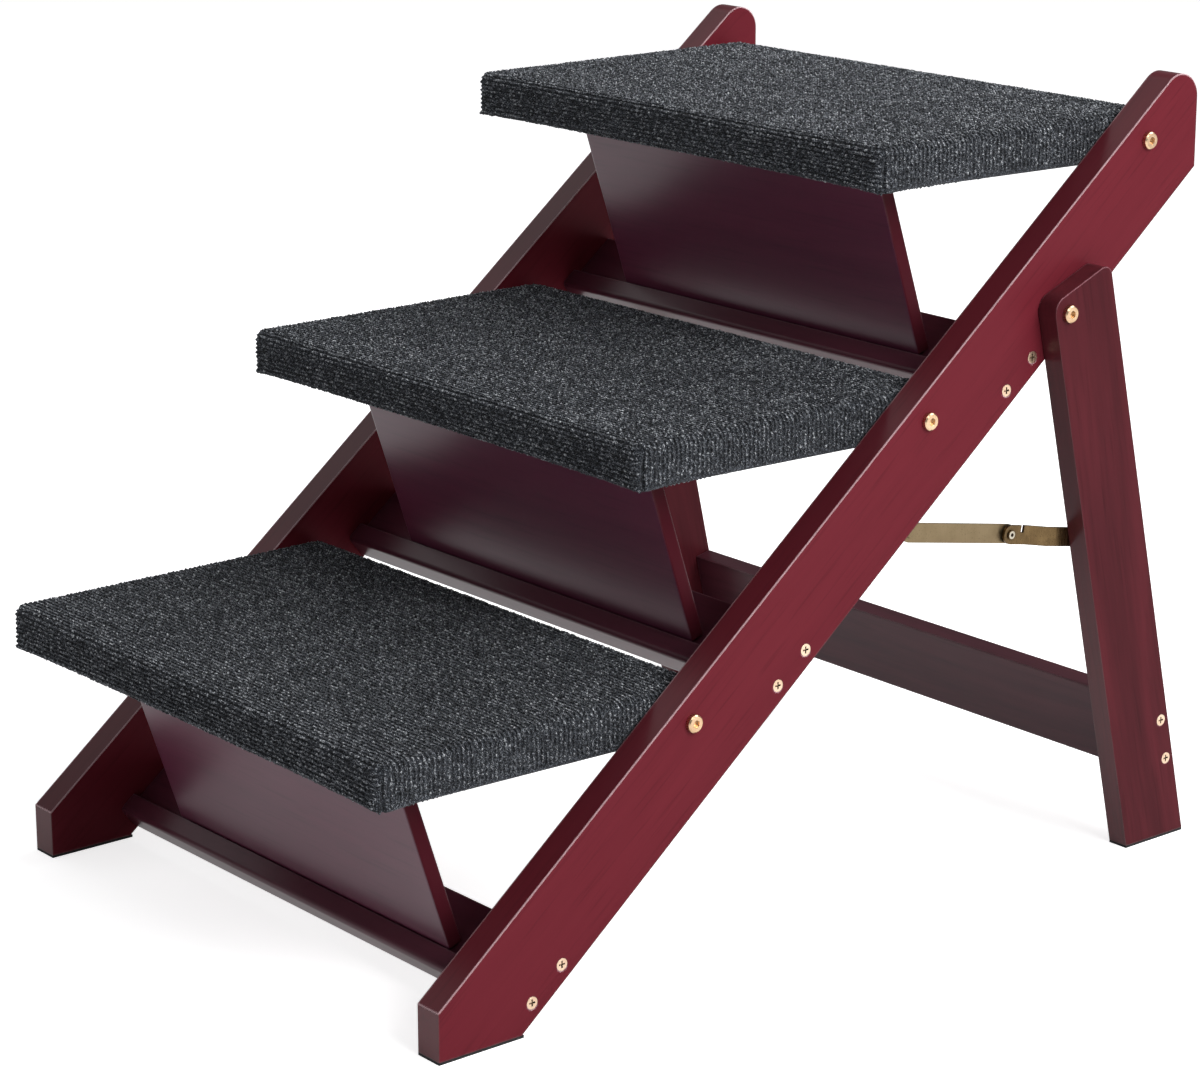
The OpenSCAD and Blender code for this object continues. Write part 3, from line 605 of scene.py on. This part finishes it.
def plan_ring(low, high, inset):
    """A rounded rectangle seen from above, pulled in by inset, always with as many points."""
    radius = max(CORNER - inset, 0.6 * MM)
    x0, x1 = low[0] + inset, high[0] - inset
    y0, y1 = low[1] + inset, high[1] - inset
    corners = [(x1 - radius, y0 + radius, -90), (x1 - radius, y1 - radius, 0),
               (x0 + radius, y1 - radius, 90), (x0 + radius, y0 + radius, 180)]

    def on_corner(k, n):
        cx, cy, start = corners[k % 4]
        a = math.radians(start + 90 * n / CORNER_STEPS)
        return cx + radius * math.cos(a), cy + radius * math.sin(a)

    ring = []
    for k in range(4):
        ring += [on_corner(k, n) for n in range(CORNER_STEPS + 1)]
        first, end = ring[-1], on_corner(k + 1, 0)
        ring += [(first[0] + (end[0] - first[0]) * n / SIDE_STEPS,
                  first[1] + (end[1] - first[1]) * n / SIDE_STEPS)
                 for n in range(1, SIDE_STEPS)]
    return ring


def backing_levels(low, high):
    """The rings of the backing, from the margin underneath up to the top: how far in each
    lies, its height and its share of hem_rise. Then the numbers of those in the walls."""
    skin, proud = BACKING_SKIN, HEM_SKIN
    under, top = low[2] + skin, high[2] - skin
    levels = [(LAP, under, 0.0), (4 * MM, under, 0.3),
              (proud + 1.3 * MM, low[2] + 0.2 * MM, 1.0),
              (proud + 0.4 * MM, low[2] + 0.5 * MM, 1.0),
              (proud, low[2] + 1.4 * MM, 1.0), (proud + 0.1 * MM, low[2] + HEM, 1.0),
              (skin, low[2] + HEM + 0.6 * MM, 1.0), (skin, (low[2] + high[2]) / 2, 0.45)]
    walls = range(2, len(levels))
    for n in range(BROW_STEPS + 1):
        a = math.radians(90 * n / BROW_STEPS)
        levels.append((skin + BROW * (1 - math.cos(a)), top - BROW * (1 - math.sin(a)), 0.0))
    return levels, walls


def wrap_backing(number, material):
    """The woven backing round a tread board, open in the middle of its underside."""
    low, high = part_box("carpet_" + number)
    outside, walls = backing_levels(low, high)
    inside = [(THICK, high[2] - THICK, 0.0), (THICK, low[2] + THICK, 0.0),
              (LAP, low[2] + THICK, 0.0)]
    bm = bmesh.new()
    rings = []
    for k, (inset, z, sag) in enumerate(outside + inside):
        ring = []
        for n, (x, y) in enumerate(plan_ring(low, high, inset)):
            lift = hem_rise(x, y, low, high) * sag
            if k in walls and n in SEAMS:
                x -= math.copysign(SEAM_DEPTH, x)
                y += SEAM_DEPTH
            ring.append(bm.verts.new((x, y, z + lift)))
        rings.append(ring)

    def bridge(a, b):
        for n in range(len(a)):
            m = (n + 1) % len(a)
            bm.faces.new((a[n], a[m], b[m], b[n]))

    top = len(outside)
    for a, b in zip(rings[:top], rings[1:top]):
        bridge(a, b)
    bm.faces.new(rings[top - 1])
    bm.faces.new(list(reversed(rings[top])))
    for a, b in zip(rings[top:], rings[top + 1:] + rings[:1]):
        bridge(a, b)
    bmesh.ops.recalc_face_normals(bm, faces=bm.faces)
    mesh = bpy.data.meshes.new("carpet_%s_backing" % number)
    bm.to_mesh(mesh)
    bm.free()
    mesh.materials.append(material)
    return mesh


# ---------------------------------------------------------------- loops of the carpet
# Each spot is a loop's place, the way out of the cloth, and the way of its row.

def along_row(length, row):
    """Places along a row from its middle, in every other row half a loop further on."""
    count = int(length / LOOP_PITCH)
    for n in range(count + 1):
        yield -length / 2 + (n + 0.5 * (row % 2)) * length / count


def rows_over(low, high):
    """Spots in rows over the top, each row carried on down both sides."""
    x1, y0, y1 = high[0] - LOOP_SKIN, low[1] + LOOP_SKIN, high[1] - LOOP_SKIN
    top, foot = high[2] - LOOP_SKIN, low[2] + HEM + OVER_HEM
    drop = top - foot
    rows = int((y1 - y0 - 2 * BROW) / ROW_PITCH)
    step = (y1 - y0 - 2 * BROW) / rows
    for row in range(rows + 1):
        y = y0 + BROW + row * step
        near = min(y - y0, y1 - y)
        pull = CORNER - math.sqrt(max(CORNER ** 2 - max(CORNER - near, 0) ** 2, 0))
        edge = x1 - pull
        reach = edge - BROW
        for s in along_row(2 * reach + 2 * (ARC + drop - BROW), row):
            side = 1 if s > 0 else -1
            t = abs(s) - reach
            if t <= 0:
                yield (s, y, top), (0, 0, 1), (1, 0, 0)
            elif t < ARC:
                a = t / BROW
                yield ((side * (reach + BROW * math.sin(a)), y, top - BROW * (1 - math.cos(a))),
                       (side * math.sin(a), 0, math.cos(a)),
                       (side * math.cos(a), 0, -math.sin(a)))
            elif t - ARC < drop - BROW:
                z = top - BROW - (t - ARC)
                z += hem_rise(edge, y, low, high) * (top - z) / drop
                yield (side * edge, y, z), (side, 0, 0), (0, 0, -1)


def rows_ahead(low, high):
    """Spots in rows along the front and the back, over the fold there."""
    top = high[2] - LOOP_SKIN
    drop = top - low[2] - END_FOOT
    fall = ARC + drop - BROW
    reach = high[0] - LOOP_SKIN - CORNER
    bend = CORNER * math.pi / 4
    lines = int(fall / END_PITCH)
    for face, edge in ((-1, low[1] + LOOP_SKIN), (1, high[1] - LOOP_SKIN)):
        for row in range(1, lines + 1):
            t = row * fall / (lines + LAST_GAP)
            if t < ARC:
                a = t / BROW
                back, z = BROW * (1 - math.sin(a)), top - BROW * (1 - math.cos(a))
                out, up = math.sin(a), math.cos(a)
            else:
                back, z = 0.0, top - BROW - (t - ARC)
                out, up = 1.0, 0.0
            for s in along_row(2 * (reach + bend), row):
                side = 1 if s > 0 else -1
                turn = max(abs(s) - reach, 0) / CORNER
                if turn > CORNER_REACH:
                    continue
                x = side * (min(abs(s), reach) + (CORNER - back) * math.sin(turn))
                y = edge - face * (back + (CORNER - back) * (1 - math.cos(turn)))
                rise = hem_rise(x, y, low, high) * max(0.0, min(1.0, (top - z) / drop))
                yield ((x, y, z + rise),
                       (side * math.sin(turn) * out, face * math.cos(turn) * out, up),
                       (math.cos(turn), side * -face * math.sin(turn), 0))


def margin_rows(low, high):
    """Spots on the margin that is turned in under the board."""
    width, depth = high[0] - low[0] - 2 * MARGIN_INSET, high[1] - low[1] - 2 * MARGIN_INSET
    z = low[2] + MARGIN_SKIN
    rows = int((high[1] - low[1] - 4 * MM) / ROW_PITCH)
    count = int(width / LOOP_PITCH)
    for row in range(rows + 1):
        y = low[1] + MARGIN_INSET + row * depth / rows
        at_end = y < low[1] + LAP or y > high[1] - LAP
        for n in range(count + 1):
            x = low[0] + MARGIN_INSET + n * width / count
            if at_end or abs(x) > high[0] - LAP:
                rise = hem_rise(x, y, low, high) * max(0.0, 1 - (y - low[1]) / (6 * MM))
                yield (x, y, z + rise), (0, 0, -1), (1, 0, 0)


def make_loop_pile():
    """Sets a small loop of yarn on every point, turned along its row."""
    tree, net, given, out = new_group(
        "GeometryNodeTree", "loop_pile",
        [("Geometry", SHAPE, None), ("Loop Length", FLOAT, 1.75 * MM),
         ("Loop Width", FLOAT, 1.06 * MM), ("Loop Height", FLOAT, 1.1 * MM),
         ("Lean", FLOAT, 0.34), ("Drift", FLOAT, 0.3 * MM), ("Seed", NUMBER, 1),
         ("Yarn", MATERIAL, None)],
        [("Geometry", SHAPE)])

    def named(label):
        node = net.add("GeometryNodeInputNamedAttribute", {"data_type": "FLOAT_VECTOR"},
                       Name=label)
        return node.outputs["Attribute"]

    def random_vector(low, high, seed):
        node = net.add("FunctionNodeRandomValue", {"data_type": "FLOAT_VECTOR"})
        node.inputs["Min"].default_value = low
        node.inputs["Max"].default_value = high
        net.put(node.inputs["Seed"], net.whole_sum(given["Seed"], seed))
        return node.outputs["Value"]

    drift = net.vector("SCALE", random_vector((-1, -1, -0.4), (1, 1, 0.4), 11),
                       Scale=given["Drift"])
    moved = net.add("GeometryNodeSetPosition", Geometry=given["Geometry"], Offset=drift[0])
    bead = net.add("GeometryNodeMeshUVSphere", Radius=1.0, Segments=4, Rings=2)
    size = net.add("ShaderNodeCombineXYZ", X=given["Loop Length"], Y=given["Loop Width"],
                   Z=given["Loop Height"])
    vary = net.vector("MULTIPLY", size.outputs[0],
                      random_vector((0.8, 0.78, 0.75), (1.2, 1.15, 1.2), 23))
    stand = net.add("FunctionNodeAlignRotationToVector", {"axis": "Z"}, Vector=named("pile_way"))
    row = net.add("FunctionNodeAlignRotationToVector", {"axis": "X", "pivot_axis": "Z"},
                  Rotation=stand.outputs[0], Vector=named("row_way"))
    tilt = net.vector("SCALE", random_vector((-1, -1, -1), (1, 1, 1), 37), Scale=given["Lean"])
    lean = net.add("FunctionNodeEulerToRotation", Euler=tilt[0])
    turn = net.add("FunctionNodeRotateRotation", {"rotation_space": "LOCAL"},
                   Rotation=row.outputs[0], Rotate_By=lean.outputs[0])
    placed = net.add("GeometryNodeInstanceOnPoints", Points=moved.outputs["Geometry"],
                     Instance=bead.outputs["Mesh"], Rotation=turn.outputs[0], Scale=vary[0])
    shade = net.add("FunctionNodeRandomValue", {"data_type": "FLOAT"})
    net.put(shade.inputs["Seed"], net.whole_sum(given["Seed"], 51))
    keep = net.add("GeometryNodeStoreNamedAttribute",
                   {"data_type": "FLOAT", "domain": "INSTANCE"},
                   Geometry=placed.outputs["Instances"], Name="loop_shade")
    net.put(keep.inputs["Value"], shade.outputs[1])
    real = net.add("GeometryNodeRealizeInstances", Geometry=keep.outputs["Geometry"])
    smooth = net.add("GeometryNodeSetShadeSmooth", {"domain": "FACE"},
                     Geometry=real.outputs["Geometry"], Shade_Smooth=True)
    yarn = net.add("GeometryNodeSetMaterial", Geometry=smooth.outputs["Geometry"],
                   Material=given["Yarn"])
    net.join(yarn.outputs["Geometry"], out.inputs["Geometry"])
    return tree


def set_input(step, label, value):
    """Set a Geometry Nodes input by its socket's identifier."""
    for item in step.node_group.interface.items_tree:
        if item.item_type == "SOCKET" and item.in_out == "INPUT" and item.name == label:
            step[item.identifier] = value


def grow_loops(name, spots, tree, material, seed):
    """A plain mesh of loops, one on each spot."""
    spots = list(spots)
    mesh = bpy.data.meshes.new(name + "_spots")
    mesh.from_pydata([place for place, _, _ in spots], [], [])
    ways = ("pile_way", "row_way")
    for column, label in enumerate(ways, 1):
        data = mesh.attributes.new(label, "FLOAT_VECTOR", "POINT")
        data.data.foreach_set("vector", [value for spot in spots for value in spot[column]])
    source = bpy.data.objects.new(name + "_spots", mesh)
    bpy.context.collection.objects.link(source)
    step = source.modifiers.new("loop_pile", "NODES")
    step.node_group = tree
    set_input(step, "Seed", seed)
    set_input(step, "Yarn", material)
    bpy.context.view_layer.update()
    graph = bpy.context.evaluated_depsgraph_get()
    grown = bpy.data.meshes.new_from_object(source.evaluated_get(graph))
    bpy.data.objects.remove(source)
    for label in ways:
        if label in grown.attributes:
            grown.attributes.remove(grown.attributes[label])
    return grown


def stand_in(name, mesh, body, slot, *nodes):
    """Put a finished mesh in the scene on its body, for the CAD nodes that it stands for."""
    mesh.name = name
    piece = bpy.data.objects.new(name, mesh)
    bpy.context.collection.objects.link(piece)
    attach(piece, body)
    if nodes:
        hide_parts(*nodes)


def lay_carpet(number, tree, yarn, weave):
    """Backing, loops over the outside and loops on the turned-in margin of one tread."""
    node, body = "carpet_" + number, "tread_" + number
    low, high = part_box(node)
    seed = 10 * int(number)
    stand_in(node + "_backing", wrap_backing(number, weave), body, "carpet", node)
    outside = list(rows_over(low, high)) + list(rows_ahead(low, high))
    pile = grow_loops(node + "_pile", outside, tree, yarn, seed)
    stand_in(node + "_pile", pile, body, "carpet")
    margin = grow_loops(node + "_margin", margin_rows(low, high), tree, yarn, seed + 5)
    stand_in(node + "_margin", margin, body, "carpet")


# ---------------------------------------------------------------- the stairs

def numbered(*stems):
    return [stem + number for stem in stems for number in TREADS]


# In each finish, edge is the colour of a painted highlight along upper edges
WOODS = (                           # name, lighter and darker colour, grain, finish, pieces
    ("rail_red", (111, 37, 47), (103, 33, 43), UP_RAIL,
     {"edge": (255, 216, 222), "coat": 0.6, "shine": 0.05, "rounding": 1.6 * MM,
      # painted shade on the rails' faces that don't look along X
      "painted_shade": 0.3},
     ["rail_right", "rail_left"]),
    ("leg_red", (97, 36, 44), (70, 26, 32), UP_LEG,
     {"edge": (180, 122, 132), "coat": 0.5, "shine": 0.05, "rounding": 1.1 * MM},
     ["leg_right", "leg_left"]),
    ("plum", (88, 42, 52), (62, 26, 36), ACROSS,
     {"edge": (120, 84, 92), "coat": 0.06, "shine": 0.3},
     ["stretcher"]),
    ("prop_plum", (110, 50, 73), (94, 40, 63), ACROSS,
     {"edge": (130, 96, 104), "gloss": 0.34, "coat": 0.86, "shine": 0.1,
      "ends": (82, 28, 38)},
     numbered("prop_board_")),
    ("board_plum", (98, 48, 62), (84, 38, 52), ACROSS,
     {"edge": (130, 96, 104), "gloss": 0.34, "coat": 0.7, "shine": 0.1},
     numbered("cross_board_")),
    ("board_red", (124, 52, 50), (92, 34, 34), ACROSS, {}, numbered("tread_board_")),
)

METALS = (                          # name, lighter and darker colour, brushing, finish, pieces
    ("gold_plate", (226, 194, 158), (192, 152, 114), ACROSS, {"rough": 0.24},
     ["leg_bolts"] + numbered("tread_bolts_")),
    ("pale_gold", (242, 214, 186), (218, 182, 150), ACROSS, {"rough": 0.3, "recess": 1.0},
     ["board_screws", "bracket_screws", "stretcher_screws"]
     + numbered("tread_leaf_screws_", "prop_leaf_screws_")),
    ("tan_brass", (138, 121, 93), (126, 109, 82), UPRIGHT,
     {"rough": 0.4, "brush": 0.35, "specks": 0.35},
     ["leg_inserts", "stay_brackets", "bracket_pins", "stay_front_right", "stay_front_left"]
     + numbered("tread_inserts_", "tread_leaves_", "prop_leaves_")),
    # a darker copy of the stays' brass for the rear bars and leg pins; its darkness is painted
    # shade by the legs
    ("shaded_brass", (116, 95, 65), (74, 58, 38), UPRIGHT,
     {"rough": 0.26, "brush": 0.3, "specks": 0.45},
     ["stay_leg_pins", "stay_rear_right", "stay_rear_left"]),
    ("rivet_steel", (200, 196, 188), (138, 132, 124), ACROSS, {"rough": 0.26},
     ["leg_washers"] + numbered("hinge_pins_")),
    ("rivet_ring", (206, 200, 184), (150, 140, 120), ACROSS,
     {"rough": 0.26, "hollow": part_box("knee_rivet_right")},
     ["knee_rivet_right", "knee_rivet_left"]),
)

place_camera()
pale_floor()
light_studio()

for name, light, dark, grain, finish, pieces in WOODS:
    dress(pieces, lacquered_wood(name, light, dark, grain, **finish))
ease_edges(numbered("prop_board_") + ["stretcher"], EASING, make_long_edges())

ROUND_SHADING = make_round_shading()
for name, light, dark, brushing, finish, pieces in METALS:
    dress(pieces, bright_metal(name, light, dark, brushing, **finish))
    round_off(pieces, ROUND_SHADING)
dress(["rail_pads", "leg_pads"], foot_rubber("foot_rubber"))

YARN = pile_carpet("carpet_yarn", (11, 13, 16))
WEAVE = pile_carpet("carpet_weave", (10, 12, 15), loops=False)
LOOP_PILE = make_loop_pile()
for number in TREADS:
    lay_carpet(number, LOOP_PILE, YARN, WEAVE)

bpy.context.scene.view_settings.view_transform = "Standard"
